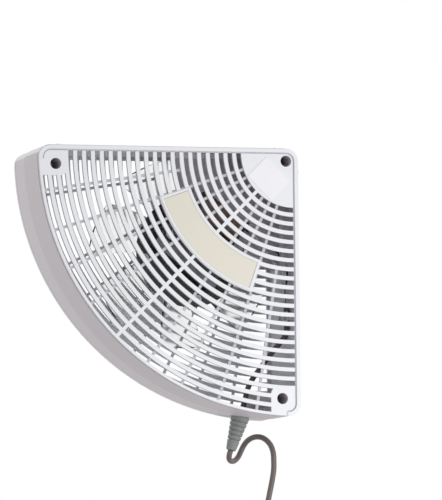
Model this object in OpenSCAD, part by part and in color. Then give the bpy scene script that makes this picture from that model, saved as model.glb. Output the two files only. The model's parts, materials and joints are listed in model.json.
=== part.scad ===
// Door frame fan: a quarter-disc corner fan with two open grilles and a shaded-pole motor.
// X runs along the head of the frame, Y from front to back and Z up.
// The origin is the middle of the top flat side, which lies against the head.

/* [Body] */
// Width and height of the quarter disc, from its two flat sides
body_size = 240; // [230:1:270]
// Depth from the front bead to the back of the rear grille
body_depth = 90; // [86:1:96]
// How far the centre of all the arcs sits in from both flat sides
arc_inset = 4.8; // [3:0.1:6]
// Radius of the three outline corners
corner_r = 12; // [9:1:15]
// Thickness of the grey wall
wall_t = 2.5; // [2:0.1:3]
// Depth of the grey wall on the rear shell
rear_wall_depth = 33; // [30:1:36]
// How far the rear shell's wall stands in from the front shell's, which shows as a step
shell_step = 0.4; // [0.2:0.1:0.8]
// Width of the shadow gap behind the front grille
front_gap_w = 3; // [1:0.1:4]
// Depth of the shadow gap behind the front grille
front_gap_deep = 1.2; // [0.5:0.1:1.5]
// Width of the shadow gap at the seam of the two shells
seam_gap_w = 0.8; // [0.5:0.1:1.5]
// Depth of the shadow gap at the seam of the two shells
seam_gap_deep = 0.6; // [0.4:0.1:1]

/* [Grilles] */
// Thickness of each grille
grille_t = 3; // [2.5:0.1:4]
// Radius of the middle of the innermost slot
first_slot_r = 51.2; // [49:0.1:56]
// Distance from slot to slot
slot_pitch = 8.15; // [7.5:0.05:9]
// Width of a slot
slot_w = 4.5; // [3.5:0.1:5]
// Plain margin between the slots and the flat sides
slot_margin = 5.5; // [5.3:0.1:8]
// Least width of the plastic outside the outermost slot
outer_land = 2; // [1.5:0.1:4]
// Angle from rib to rib
rib_step = 9; // [9:1:10]
// Width of a recessed rib
rib_w = 2.6; // [1.2:0.1:3]
// How far the ribs lie behind the grille's face
rib_recess = 1.5; // [0.5:0.1:1.5]
// Width of the flush rib in the middle
main_rib_w = 3; // [2:0.1:4]
// Width of the raised bead along the flat sides
bead_w = 3.4; // [2.5:0.1:4]
// Height of the raised bead
bead_h = 1; // [0.6:0.1:1.5]
// Width of the groove inside the bead
groove_w = 1.2; // [0.8:0.1:1.6]
// Depth of the groove inside the bead
groove_deep = 0.8; // [0.5:0.1:1.2]
// Height of the small nubs that touch the frame
nub_h = 1; // [0.5:0.1:1.5]
// Width of a nub at its foot
nub_w = 5; // [3:0.5:7]

/* [Badge and plate] */
// Slots that the badge takes the place of, counted from the innermost
badge_first_slot = 7; // [6:1:8]
// How many slots wide the badge is
badge_slots = 3; // [2:1:4]
// Half of the angle that the badge spans
badge_half_angle = 26; // [22:1:26]
// Width of the raised frame round the badge
badge_frame = 2; // [1.5:0.1:3]
// Thickness of the badge strip
badge_t = 0.8; // [0.5:0.1:1]
// Length of the blank plate on the corner pad
plate_label_len = 31; // [28:1:32]
// Width of the blank plate on the corner pad
plate_label_w = 25; // [20:1:26]

/* [Casing screws] */
// Diameter of the recessed screw wells
well_d = 10; // [8:0.5:11]
// Distance of the apex well from both flat sides
apex_hole = 12; // [11:0.5:15]
// Distance of the end wells from the flat side next to them
end_hole_in = 17.5; // [15:0.5:19]
// Distance of the end wells from the far outline
end_hole_far = 15.5; // [13:0.5:17]
// Depth of the wells below the grille
well_depth = 26; // [20:1:30]
// Diameter of the casing screws
screw_d = 3.9; // [3:0.1:4.2]
// Diameter of the casing screws' heads
head_d = 7; // [6:0.5:7.5]
// Height of the casing screws' heads
head_h = 2.4; // [2:0.1:3]
// Width of the pads round the end wells
pad_w = 27; // [25:0.5:30]

/* [Frame screws] */
// Diameter of the holes for screws into the door frame
mount_hole_d = 4.5; // [3.5:0.1:5.5]
// Distance between the two holes in each flat side
mount_spacing = 140; // [120:1:150]
// How far the holes lie in front of the middle of the depth
mount_forward = 22; // [16:1:26]

/* [Motor] */
// Distance of the shaft from both flat sides
fan_inset = 91; // [90:0.5:95]
// Diameter of the black plate behind the motor
plate_d = 100; // [97:1:106]
// Thickness of the black plate
plate_t = 2; // [1.5:0.1:2.5]
// Turn of the motor: the angle of its coil above the horizontal
motor_turn = 52; // [45:1:60]
// Distance between the grille and the web that carries the plate
motor_room = 37; // [36:0.5:39]
// Thickness of the web
web_t = 3; // [2:0.1:3.5]
// Thickness of the rubber washers
washer_t = 1; // [0.8:0.1:1.5]
// Thickness of the stack of laminations
stack_t = 15; // [12:0.5:16]
// Diameter of the rotor
rotor_d = 23.2; // [20:0.1:25]
// Air gap between rotor and stack
air_gap = 0.4; // [0.3:0.05:0.6]
// Diameter of the shaft
shaft_d = 4; // [3:0.1:5]
// Distance of the coil's middle from the shaft
coil_reach = 36; // [35.5:0.5:38]
// Length of the winding
coil_len = 44; // [38:1:44]
// Diameter of the motor screws
motor_screw_d = 3; // [2.5:0.1:3.5]

/* [Impeller] */
// Least gap between the blade tips and the wall
tip_gap = 3.5; // [2.5:0.5:6]
// Number of blades
blade_count = 7; // [5:1:7]
// Diameter of the hub
hub_d = 48; // [44:1:54]
// Thickness of a blade in its middle
blade_t = 2; // [1.6:0.1:2.6]

/* [Cord] */
// Diameter of the cord
cord_d = 5; // [4.6:0.1:5]
// Length of the strain relief outside the wall
relief_len = 31; // [28:1:35]
// Diameter of the strain relief at the wall
relief_d = 17; // [15:0.5:18]
// Diameter of the strain relief at its tip
relief_tip_d = 9; // [8:0.5:11]
// Diameter of the hole that it sits in
relief_hole_d = 12; // [10:0.5:13]
// Turns of the coil, spiral in, half a turn of climb and spiral out
coil_turns_in = 4.25; // [3.25:1:4.25]

/* [Hidden] */
$fn = 64;

// Colours
grille_color = "#EDEDF0";
wall_color = "#BDB7BA";
badge_color = "#E6E2D6";
steel_color = "#B4B4B6";
black_color = "#2A2A2C";
brown_color = "#5A3A2C";
cord_color = "#6E6463";
relief_color = "#858786";

// Places along Y
half = body_size / 2;
front_y = -body_depth / 2;
rear_y = body_depth / 2;
face_y = front_y + bead_h;
grille_back = face_y + grille_t;
rear_grille_front = rear_y - grille_t;
seam_y = rear_grille_front - rear_wall_depth;
web_y = grille_back + motor_room;
plate_back = web_y - washer_t;
plate_front = plate_back - plate_t;

// The arcs
apex = [half, 0];
arc_c = [half - arc_inset, -arc_inset];
arc_r = body_size - arc_inset;
slot_count = floor((arc_r - outer_land - first_slot_r - slot_w / 2) / slot_pitch) + 1;
corner_pad_r = first_slot_r - slot_w / 2;
badge_in_r = first_slot_r + (badge_first_slot - 1) * slot_pitch + slot_w / 2;
badge_out_r = first_slot_r + (badge_first_slot + badge_slots) * slot_pitch - slot_w / 2;
plate_label_from = 20.2;
mid_angle = 45;

// Casing screws and their wells, in X and Z
end_hole = [-half + end_hole_far, -end_hole_in];
holes = [end_hole, [half - apex_hole, -apex_hole], diagonal(end_hole)];
well_r = well_d / 2;
well_wall = 2;
post_r = 5;
floor_t = 3;
well_floor = grille_back + well_depth;
running = 0.05;
push_fit = 0.02;
seat = 0.3;
screw_r = screw_d / 2;
front_screw_len = 36;
rear_screw_len = 12;
gusset_t = 2;

// Motor, in its own turned plane: U along the coil and V from the shaft to the coil
fan_c = [half - fan_inset, -fan_inset];
leg_w = 10;
core_h = 12;
core_play = 0.2;
coil_over = 3;
coil_h = 26;
flange_t = 1.9;
leg_play = 0.1;
pole_u = coil_len / 2 + flange_t + leg_play + leg_w;
pole_v = 20;
shade_in = 2.2;
shade_wire = 1.6;
shade_span = 14;
rear_leg = 2;
bar_t = 2;
bar_w = 18;
stack_back = plate_front - bar_t - rear_leg;
stack_front = stack_back - stack_t;
front_leg = 3.5;
front_bar = stack_front - front_leg;
bracket_u = 26;
post_d = 9;
hub_r = 8;
bearing_r = 5;
front_hub_t = 4;
rear_hub_back = web_y + 2;
web_hole_r = 34;
web_ring_r = 48;
web_reach = fan_inset + 18;
plate_screw_r = 43;
plate_screw_angles = [8, 98, 188, 278];
plate_screw_d = 3.5;
nut_r = 3.2;
nut_h = 2.4;
rotor_r = rotor_d / 2;
shaft_r = shaft_d / 2;
bore_r = rotor_r + air_gap;

// Impeller
impeller_r = fan_inset - wall_t - tip_gap;
impeller_front = web_y + web_t + 2.5;
impeller_depth = 28;
impeller_back = impeller_front + impeller_depth;
clip_t = 1;
shaft_front = front_bar - bar_t - front_hub_t + 3.2;
shaft_back = impeller_back + clip_t + 1.5;
hub_wall = 2;

// The cord's exit through the curved wall and its route outside
exit_y = rear_y - 20.5;
exit_x = half - 37;
exit_tilt = 17;
exit_down = [-sin(exit_tilt), 0, -cos(exit_tilt)];
exit_z = arc_c[1] - sqrt(pow(arc_r, 2) - pow(exit_x - arc_c[0], 2));
exit_p = [exit_x, exit_y, exit_z];
relief_tip = exit_p + relief_len * exit_down;
cord_r = cord_d / 2;
cord_bends = [[0, 0, 0], [-1.1, 1.2, -4.3], [-0.2, 4.6, -7.6], [2.8, 9.1, -9.4], [7.3, 13.7, -8.9],
    [11.5, 17, -5.8], [14.5, 18.3, -1], [16.9, 17.8, 4.1], [19.6, 15.4, 8.5], [22.6, 11, 11.3],
    [25.7, 4.9, 12.3], [29, -1.6, 11.3], [31.9, -7.4, 8.2], [34.2, -11.6, 3.6], [35.5, -14, -2.3],
    [35.8, -15, -9.3], [35.4, -15.5, -19], [33.7, -15.5, -29], [31.3, -15.5, -40], [29, -15.5, -51],
    [27.4, -15.5, -62.5], [26.6, -15.5, -74.5], [26.6, -15.5, -87.5]];
cord_route = [for (bend = cord_bends) relief_tip + bend];

// The jacketed run inside, from the tip of the strain relief to the clamp on the flat wall
clamp_z = -0.625 * body_size;
clamp_y = seam_y - 27;
clamp_x = half - wall_t - cord_r - running;
clamp_gap = 8;
clamp_t = 1.5;
clamp_w = 9;
clamp_post_r = 3.5;
clamp_screw_r = 1.3;
inner_end_z = clamp_z + 12;
inner_route = [relief_tip, exit_p, exit_p - 14 * exit_down, [half - 29, exit_y - 4.5, exit_z + 29.8],
    [half - 20, seam_y + 1, exit_z + 45.8], [half - 12, seam_y - 12, exit_z + 59.8],
    [clamp_x, seam_y - 21, clamp_z - 17], [clamp_x, clamp_y, clamp_z - 7], [clamp_x, clamp_y, inner_end_z]];

// Leads from the inner cord through two closed connectors to the coil
wire_r = 0.9;
connector_r = 2.2;
connector_len = 12;
wire_start = [clamp_x, clamp_y, inner_end_z];

// The wound coil that hangs from the cord, with its axis along Y
coil_pitch = cord_d + 0.5;
coil_steps = 24;
coil_out_r = 40.5;
coil_in_r = coil_out_r - coil_turns_in * coil_pitch;
coil_turns = 2 * coil_turns_in + 0.5;
coil_dip = 0.9;
tail_out = 4.5;
tail_len = 24;
cord_end = cord_route[len(cord_route) - 1];
coil_start = cord_end - [0, 0, cord_d];
coil_c = coil_start - [coil_out_r, 0, 0];
tie_t = 1;
tie_w = 8;

// The plug hangs from the coil's end
plug_len = 30;
plug_w = 22;
plug_t = 16;
plug_neck = 14;
blade_gap = 12.7;
blade_l = 17;
blade_sheet = 1.5;
blade_ws = [6.3, 7.9];

function diagonal(p) = [half + p[1], p[0] - half];
function unit(v) = v / norm(v);
function polar(c, r, a) = [c[0] + r * cos(a), c[1] + r * sin(a)];
function tangent(path, i) = unit(path[min(i + 1, len(path) - 1)] - path[max(i - 1, 0)]);
function square_to(v, t) = unit(v - (v * t) * t);
function frames(path, first) = [for (i = 0, n = square_to(first, tangent(path, 0)); i < len(path);
    i = i + 1, n = square_to(n, tangent(path, min(i, len(path) - 1)))) n];
function path_length(path) = let (steps = [for (i = [1 : len(path) - 1]) norm(path[i] - path[i - 1])])
    steps * [for (step = steps) 1];

// A tube swept along a path, whose rings stay square to it and don't twist
module tube(path, r, sides, first = [0, 1, 0]) {
    normals = frames(path, first);
    n = len(path);
    points = [for (i = [0 : n - 1], k = [0 : sides - 1])
        let (t = tangent(path, i), a = 360 * k / sides)
        path[i] + r * (cos(a) * normals[i] + sin(a) * cross(t, normals[i]))];
    sides_faces = [for (i = [0 : n - 2], k = [0 : sides - 1])
        let (a = i * sides + k, b = i * sides + (k + 1) % sides)
        [a, a + sides, b + sides, b]];
    start = [[for (k = [0 : sides - 1]) k]];
    end = [[for (k = [sides - 1 : -1 : 0]) (n - 1) * sides + k]];
    polyhedron(points, concat(sides_faces, start, end), 4);
}

// A flat shape drawn in X and Z, made into a slab that starts at front and is thick deep
module slab(front, thick) {
    translate([0, front + thick, 0]) rotate([90, 0, 0]) linear_extrude(thick) children();
}

// A round bar along Y at a place in X and Z
module bar_y(p, r, from, to) {
    translate([p[0], to, p[1]]) rotate([90, 0, 0]) cylinder(r = r, h = to - from);
}

// The same flat shape once more, mirrored in the diagonal through the apex
module both_ends() {
    children();
    translate(apex) mirror([1, -1, 0]) translate(-apex) children();
}

// What lies outside a rounded end corner, where the curve meets the top side
module end_corner(flat, arc) {
    f = max(corner_r - flat, 1);
    r = arc_r - arc;
    z = -flat - f;
    c = [arc_c[0] - sqrt(pow(r - f, 2) - pow(z - arc_c[1], 2)), z];
    out = c + 2 * f * unit(c - arc_c);
    difference() {
        polygon([c, c + [0, 2 * f], c + [-2 * f, 2 * f], out]);
        translate(c) circle(f);
    }
}

// The quarter disc, with its flat sides moved in by flat and its curve by arc
module outline(flat, arc) {
    f = max(corner_r - flat, 1);
    difference() {
        intersection() {
            translate(arc_c) circle(arc_r - arc, $fn = 360);
            translate([half - flat - 2 * body_size, -flat - 2 * body_size]) square(2 * body_size);
        }
        difference() {
            translate([half - flat - f, -flat - f]) square(2 * f);
            translate([half - flat - f, -flat - f]) circle(f);
        }
        both_ends() end_corner(flat, arc);
    }
}

// Strips along both flat sides, as deep as reach
module flat_strips(reach) {
    translate([-2 * body_size + half, -reach]) square([2 * body_size, 2 * reach]);
    translate([half - reach, -2 * body_size]) square([2 * reach, 2 * body_size]);
}

module ring(r, w) {
    difference() {
        translate(arc_c) circle(r + w / 2, $fn = 240);
        translate(arc_c) circle(r - w / 2, $fn = 240);
    }
}

// A wedge between two angles, measured from the top side down
module wedge(from, to) {
    reach = 1.5 * body_size;
    polygon([arc_c, polar(arc_c, reach, 180 + from), polar(arc_c, reach, 180 + (from + to) / 2),
        polar(arc_c, reach, 180 + to)]);
}

module arc_band(r1, r2, half_angle) {
    intersection() {
        ring((r1 + r2) / 2, r2 - r1);
        wedge(mid_angle - half_angle, mid_angle + half_angle);
    }
}

// The square pads round the end wells, with one rounded corner
module end_pads() {
    r = 8;
    both_ends() difference() {
        translate([-body_size, -pad_w - nub_h]) square([body_size - half + pad_w, 2 * pad_w]);
        difference() {
            translate([-half + pad_w - r, -pad_w - nub_h - r]) square(2 * r);
            translate([-half + pad_w - r, -pad_w - nub_h + r]) circle(r);
        }
    }
}

// A rib along a radius, from a start radius outwards
module rib(k, width) {
    side = abs(k * rib_step - mid_angle) > badge_half_angle + rib_step / 2;
    start = side ? badge_in_r : corner_pad_r - 1;
    translate(arc_c) rotate(180 + k * rib_step) translate([start, -width / 2])
        square([arc_r - start, width]);
}

module ribs() {
    middle = mid_angle / rib_step;
    for (k = [1 : 2 * middle - 1]) if (k != middle) rib(k, rib_w);
}

module main_rib() rib(mid_angle / rib_step, main_rib_w);

// All the slots of a grille, without the ribs that cross them
module slots(with_badge) {
    difference() {
        intersection() {
            for (i = [0 : slot_count - 1]) ring(first_slot_r + i * slot_pitch, slot_w);
            translate([half - slot_margin - 2 * body_size, -slot_margin - 2 * body_size])
                square(2 * body_size);
        }
        end_pads();
        main_rib();
        if (with_badge) arc_band(badge_in_r - 1, badge_out_r + 1, badge_half_angle + 1);
    }
}

module nubs() {
    for (x = [-half + 18, half - 22])
        both_ends() polygon([[x - nub_w / 2, -nub_h], [x - nub_w / 4, 0], [x + nub_w / 4, 0],
            [x + nub_w / 2, -nub_h], [x + nub_w / 2, -nub_h - 1], [x - nub_w / 2, -nub_h - 1]]);
}

// A grille plate whose ribs lie behind its face; face is the side that looks outwards
module grille(face, inward, with_badge) {
    upper = inward > 0 ? face : face - rib_recess;
    lower = inward > 0 ? face + rib_recess : face - grille_t;
    slab(upper, rib_recess) difference() {
        union() {
            outline(nub_h, 0);
            nubs();
        }
        slots(with_badge);
    }
    slab(lower, grille_t - rib_recess) difference() {
        union() {
            outline(nub_h, 0);
            nubs();
        }
        difference() {
            slots(with_badge);
            ribs();
        }
    }
}

// Cross slot of a screw head that looks towards the front
module cross_slot(p, front, deep, reach) {
    for (a = [0, 90])
        translate([p[0], front, p[1]]) rotate([0, a, 0])
            translate([-reach / 2, -1, -reach / 10]) cube([reach, deep + 1, reach / 5]);
}

module front_grille() {
    color(grille_color) difference() {
        union() {
            grille(face_y, 1, true);
            slab(front_y, bead_h) intersection() {
                difference() {
                    outline(nub_h, 0);
                    outline(nub_h + bead_w, bead_w);
                }
                flat_strips(corner_r + nub_h);
            }
            slab(front_y, bead_h) difference() {
                arc_band(badge_in_r, badge_out_r, badge_half_angle + 0.6);
                arc_band(badge_in_r + badge_frame, badge_out_r - badge_frame, badge_half_angle - 0.4);
            }
        }
        slab(face_y - 1, 1 + groove_deep) intersection() {
            difference() {
                outline(nub_h + bead_w, bead_w);
                outline(nub_h + bead_w + groove_w, bead_w + groove_w);
            }
            flat_strips(corner_r + nub_h);
        }
        for (p = holes) bar_y(p, well_r, front_y - 1, grille_back + 1);
    }
}

module rear_grille() {
    color(grille_color) difference() {
        grille(rear_y, -1, false);
        for (p = holes) {
            bar_y(p, screw_r + running, rear_grille_front - 1, rear_y + 1);
            bar_y(p, head_d / 2 + seat, rear_y - head_h / 2, rear_y + 1);
        }
    }
}

module badge_strip() {
    color(badge_color) slab(face_y - badge_t, badge_t)
        arc_band(badge_in_r + badge_frame + 0.1, badge_out_r - badge_frame - 0.1, badge_half_angle - 0.6);
}

module rating_plate() {
    middle = polar(arc_c, plate_label_from + plate_label_w / 2, 180 + mid_angle);
    color("#D8D9DD") slab(face_y - 0.4, 0.4)
        translate(middle) rotate(-mid_angle)
            translate([-plate_label_len / 2, -plate_label_w / 2]) square([plate_label_len, plate_label_w]);
}

// Thin webs that tie a screw well to the walls next to it
module well_gussets(from, to) {
    mid = wall_t / 2;
    top = -mid;
    left = arc_c[0] - sqrt(pow(arc_r - mid, 2) - pow(end_hole[1] - arc_c[1], 2));
    slab(from, to - from) {
        both_ends() {
            translate([end_hole[0] - gusset_t / 2, end_hole[1]]) square([gusset_t, top - end_hole[1]]);
            translate([left, end_hole[1] - gusset_t / 2]) square([end_hole[0] - left, gusset_t]);
            translate([half - apex_hole - gusset_t / 2, -apex_hole]) square([gusset_t, apex_hole - mid]);
        }
    }
}

// The web that carries the motor plate: the apex corner and a ring round the shaft
module web() {
    difference() {
        union() {
            intersection() {
                outline(wall_t / 2, wall_t / 2);
                polygon([[half - web_reach, 0], apex, [half, -web_reach], fan_c]);
            }
            translate(fan_c) circle(web_ring_r);
        }
        translate(fan_c) circle(web_hole_r);
        for (a = plate_screw_angles)
            translate(plate_screw_at(a)) circle(plate_screw_d / 2 + running);
    }
}

function plate_screw_at(a) = polar(fan_c, plate_screw_r, a);

// Holes through both flat sides for screws into the door frame
module mount_holes() {
    for (s = [-1, 1]) {
        translate([s * mount_spacing / 2, -mount_forward, -2 * wall_t])
            cylinder(d = mount_hole_d, h = 3 * wall_t);
        translate([half - 2 * wall_t, -mount_forward, -half + s * mount_spacing / 2]) rotate([0, 90, 0])
            cylinder(d = mount_hole_d, h = 3 * wall_t);
    }
}

module clamp_posts() {
    for (s = [-1, 1])
        translate([half - wall_t - cord_d - running, clamp_y + s * clamp_gap, clamp_z]) rotate([0, 90, 0])
            cylinder(r = clamp_post_r, h = cord_d + running + wall_t / 2);
}

// A shallow groove round the outside of the wall, from a start along Y
module shadow_gap(from, width, inset) {
    slab(from, width) difference() {
        outline(-1, -1);
        outline(inset, inset);
    }
}

module front_shell() {
    color(wall_color) difference() {
        union() {
            slab(grille_back, seam_y - grille_back) difference() {
                outline(0, 0);
                outline(wall_t, wall_t);
            }
            well_gussets(grille_back, seam_y);
            for (p = holes) {
                bar_y(p, well_r + well_wall, grille_back, well_floor + floor_t);
                bar_y(p, post_r, well_floor, seam_y);
            }
            slab(web_y, web_t) web();
            clamp_posts();
        }
        shadow_gap(grille_back, front_gap_w, front_gap_deep);
        for (p = holes) {
            bar_y(p, well_r, grille_back - 1, well_floor);
            bar_y(p, screw_r + running, grille_back, seam_y + 1);
        }
        for (s = [-1, 1])
            translate([half - wall_t - 2 * cord_d, clamp_y + s * clamp_gap, clamp_z]) rotate([0, 90, 0])
                cylinder(r = clamp_screw_r + running, h = 2 * cord_d);
        mount_holes();
    }
}

module rear_shell() {
    color(wall_color) difference() {
        union() {
            slab(seam_y, rear_wall_depth) difference() {
                outline(shell_step, shell_step);
                outline(wall_t, wall_t);
            }
            intersection() {
                well_gussets(seam_y, rear_grille_front);
                slab(seam_y, rear_wall_depth) outline(shell_step, shell_step);
            }
            for (p = holes) bar_y(p, post_r, seam_y, rear_grille_front);
        }
        shadow_gap(seam_y, seam_gap_w, shell_step + seam_gap_deep);
        for (p = holes) {
            bar_y(p, screw_r + running, seam_y - 1, well_floor + front_screw_len + 1);
            bar_y(p, screw_r + running, rear_y - rear_screw_len - 1, rear_y);
        }
        translate(exit_p) rotate([0, exit_tilt, 0]) translate([0, 0, -3 * wall_t])
            cylinder(d = relief_hole_d, h = 6 * wall_t);
    }
}

// Pan-head screw along Y with its head at the front end
module screw(p, head_back, shank, r, hd, hh) {
    difference() {
        union() {
            bar_y(p, hd / 2, head_back - hh, head_back);
            bar_y(p, r, head_back - hh / 2, head_back + shank);
        }
        cross_slot(p, head_back - hh, hh / 2, hd * 0.6);
    }
}

module front_screws() {
    color(steel_color) for (p = holes) screw(p, well_floor, front_screw_len, screw_r, head_d, head_h);
}

module rear_screws() {
    color(steel_color) for (p = holes) difference() {
        union() {
            bar_y(p, head_d / 2, rear_y - head_h / 2, rear_y);
            bar_y(p, screw_r, rear_y - rear_screw_len, rear_y - head_h / 4);
        }
        translate([0, 2 * rear_y, 0]) mirror([0, 1, 0]) cross_slot(p, rear_y, head_h / 3, head_d * 0.6);
    }
}

// Puts flat shapes of the motor's own plane in place
module motor_plane() {
    translate(fan_c) rotate(motor_turn - 90) children();
}

function motor_at(u, v) = fan_c + [u * sin(motor_turn) + v * cos(motor_turn),
    -u * cos(motor_turn) + v * sin(motor_turn)];

module motor_plate() {
    color(black_color) slab(plate_front, plate_t) difference() {
        translate(fan_c) circle(d = plate_d, $fn = 128);
        translate(fan_c) circle(hub_r + seat);
        for (s = [-1, 1]) translate(motor_at(s * bracket_u, 0)) circle(motor_screw_d / 2 + running);
        for (a = plate_screw_angles)
            translate(plate_screw_at(a)) circle(plate_screw_d / 2 + running);
    }
}

module plate_screws() {
    color(steel_color) for (a = plate_screw_angles)
        screw(plate_screw_at(a), plate_front, plate_t + washer_t + web_t + 1, plate_screw_d / 2,
            plate_screw_d * 2, 1.6);
}

module rubber_washers() {
    color("#1E1E1E") for (a = plate_screw_angles) slab(plate_back, washer_t)
        translate(plate_screw_at(a)) difference() {
            circle(plate_screw_d * 1.4);
            circle(plate_screw_d / 2 + running);
        }
}

// C-frame: the pole block round the rotor, two legs and the core through the coil
module laminations() {
    core_low = coil_reach - core_h / 2;
    color("#6B6C70") slab(stack_front, stack_t) motor_plane() difference() {
        union() {
            translate([-pole_u, -pole_v]) square([2 * pole_u, 2 * pole_v]);
            for (s = [-1, 1]) translate([s * (pole_u - leg_w / 2) - leg_w / 2, 0])
                square([leg_w, coil_reach + core_h / 2]);
            translate([-pole_u, core_low]) square([2 * pole_u, core_h]);
        }
        circle(bore_r);
        for (s = [-1, 1]) translate([s * bracket_u, 0]) circle(motor_screw_d / 2 + running);
        for (s = [-1, 1], q = [-1, 1]) shading_slots(s, q);
    }
}

// The slots that each copper ring passes through, seen along the shaft
module shading_slots(s, q) {
    w = shade_wire + 0.2;
    translate([s * (bore_r + shade_in) - w / 2, q * shade_span / 2 - w / 2]) square(w);
}

module shading_rings() {
    wire = shade_wire;
    color("#B56A3C") for (s = [-1, 1]) difference() {
        slab(stack_front - wire, stack_t + 2 * wire) motor_plane()
            translate([s * (bore_r + shade_in) - wire / 2, -(shade_span + wire) / 2])
                square([wire, shade_span + wire]);
        slab(stack_front - 0.01, stack_t + 0.02) motor_plane()
            translate([s * (bore_r + shade_in) - wire, -(shade_span - wire) / 2])
                square([2 * wire, shade_span - wire]);
    }
}

module coil_bobbin() {
    inner = core_h / 2 + core_play;
    wall = 1;
    color(black_color) difference() {
        union() {
            for (s = [-1, 1])
                slab(stack_front - coil_over - 1, stack_t + 2 * coil_over + 1.5) motor_plane()
                    translate([s * (coil_len / 2 + flange_t / 2) - flange_t / 2, coil_reach - coil_h / 2])
                        square([flange_t, coil_h]);
            slab(stack_front - wall, stack_t + 2 * wall) motor_plane()
                translate([-(coil_len + flange_t) / 2, coil_reach - inner - wall])
                    square([coil_len + flange_t, 2 * (inner + wall)]);
        }
        slab(stack_front - core_play, stack_t + 2 * core_play) motor_plane()
            translate([-coil_len, coil_reach - inner]) square([2 * coil_len, 2 * inner]);
    }
}

// The taped winding, with its long edges rounded
module coil_winding() {
    h = coil_h - 2;
    d = stack_t + 2 * coil_over - 0.5;
    r = 3;
    inner = core_h / 2 + core_play + 1 + 0.02;
    mid_y = stack_front + stack_t / 2;
    at = motor_at(0, coil_reach);
    color(brown_color) translate([at[0], mid_y, at[1]]) rotate([0, 90 - motor_turn, 0])
        rotate([0, 90, 0]) translate([0, 0, -coil_len / 2]) linear_extrude(coil_len) difference() {
            union() {
                square([h - 2 * r, d], center = true);
                square([h, d - 2 * r], center = true);
                for (a = [-1, 1], b = [-1, 1]) translate([a * (h / 2 - r), b * (d / 2 - r)]) circle(r);
            }
            square([2 * inner, stack_t + 2.04], center = true);
        }
}

// A bearing bracket: a bar on two posts with a round housing for the bearing
module bracket(bar_front, post_from, post_to, hub_from, hub_to, pocket_from, pocket_to) {
    difference() {
        union() {
            slab(bar_front, bar_t) motor_plane() {
                translate([-bracket_u, -bar_w / 2]) square([2 * bracket_u, bar_w]);
                for (s = [-1, 1]) translate([s * bracket_u, 0]) circle(bar_w / 2);
            }
            for (s = [-1, 1]) bar_y(motor_at(s * bracket_u, 0), post_d / 2, post_from, post_to);
            bar_y(fan_c, hub_r, hub_from, hub_to);
        }
        bar_y(fan_c, bearing_r, pocket_from, pocket_to);
        bar_y(fan_c, shaft_r + 1, front_bar - bar_t, rear_hub_back + 1);
        for (s = [-1, 1])
            bar_y(motor_at(s * bracket_u, 0), motor_screw_d / 2 + running, front_y, web_y);
    }
}

module front_bracket() {
    color(steel_color) bracket(front_bar - bar_t, front_bar - 0.5, stack_front,
        front_bar - bar_t - front_hub_t + 2, front_bar, front_bar - bar_t - front_hub_t + 3, front_bar + 1);
}

module rear_bracket() {
    color(steel_color) bracket(plate_front - bar_t, stack_back, plate_front - 0.5,
        plate_front - bar_t, rear_hub_back, plate_front - bar_t - 1, rear_hub_back - 1);
}

module bearing(from, to) {
    color("#9C7A45") difference() {
        bar_y(fan_c, bearing_r - 0.01, from, to);
        bar_y(fan_c, shaft_r + running, from - 1, to + 1);
    }
}

module front_bearing() bearing(front_bar - bar_t - front_hub_t + 3, front_bar);
module rear_bearing() bearing(plate_front - bar_t, rear_hub_back - 1);

module motor_screws() {
    color(steel_color) for (s = [-1, 1])
        screw(motor_at(s * bracket_u, 0), front_bar - bar_t, plate_back - front_bar + bar_t + nut_h + 0.6,
            motor_screw_d / 2, 2 * motor_screw_d, 1.8);
}

module motor_nuts() {
    color(steel_color) for (s = [-1, 1]) slab(plate_back, nut_h)
        translate(motor_at(s * bracket_u, 0)) difference() {
            circle(nut_r, $fn = 6);
            circle(motor_screw_d / 2 + running);
        }
}

module rotor_core() {
    collar = front_bar + 0.9;
    color("#8A8B8E") difference() {
        union() {
            bar_y(fan_c, rotor_r, stack_front - 1, stack_back + 1);
            bar_y(fan_c, 2 * shaft_r, collar, stack_front);
        }
        bar_y(fan_c, shaft_r, front_y, rear_y);
    }
}

module shaft() {
    color("silver") bar_y(fan_c, shaft_r, shaft_front, shaft_back);
}

module thrust_washers() {
    color(steel_color) for (y = [front_bar + 0.1, plate_front - bar_t - 0.9]) difference() {
        bar_y(fan_c, 3.5, y, y + 0.8);
        bar_y(fan_c, shaft_r, y - 1, y + 2);
    }
}

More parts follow.
